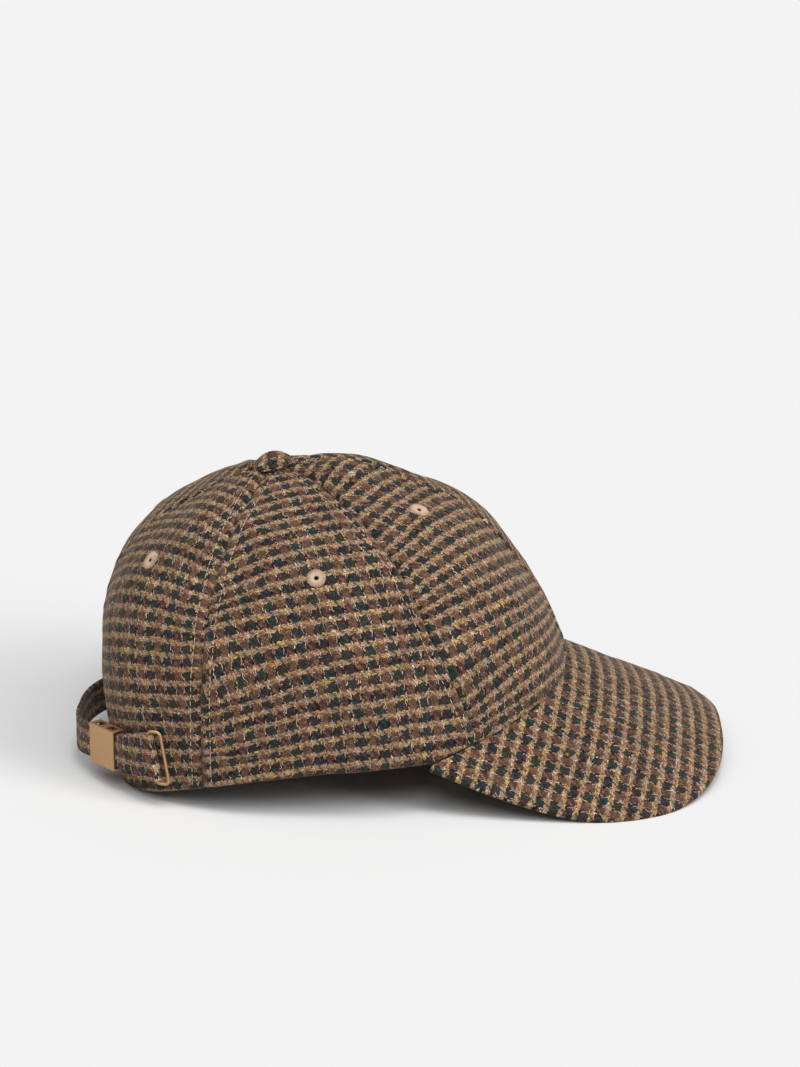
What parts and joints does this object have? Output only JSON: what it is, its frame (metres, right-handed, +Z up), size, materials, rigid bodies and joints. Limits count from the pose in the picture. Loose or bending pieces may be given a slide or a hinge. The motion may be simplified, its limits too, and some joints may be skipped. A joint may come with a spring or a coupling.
{
  "type": "baseball cap",
  "caption": "Soft tweed baseball cap with sewn gores, a curved peak, a covered top button and an adjustable back strap held by a gilt clasp.",
  "frame": {"origin": "On the resting surface, under the middle of the cap's outline seen from above.", "axes": "+X is the way the cap faces, along its peak. +Y is its wearer's left. +Z is up."},
  "size_m": [0.281, 0.174, 0.1353],
  "materials": {
    "tweed": "woollen tweed, small multicolour houndstooth check",
    "thread": "buttonhole thread",
    "gilt": "matte gilt"
  },
  "bodies": {
    "root": {"panel_front_right": "tweed", "panel_front_left": "tweed", "panel_side_right": "tweed", "panel_side_left": "tweed", "panel_back_right": "tweed", "panel_back_left": "tweed", "peak": "tweed", "top_button": "tweed", "strap": "tweed", "eyelet_front_right": "thread", "eyelet_front_left": "thread", "eyelet_side_right": "thread", "eyelet_side_left": "thread", "eyelet_back_right": "thread", "eyelet_back_left": "thread", "clasp": "gilt", "ring": "gilt"}
  },
  "joints": []
}
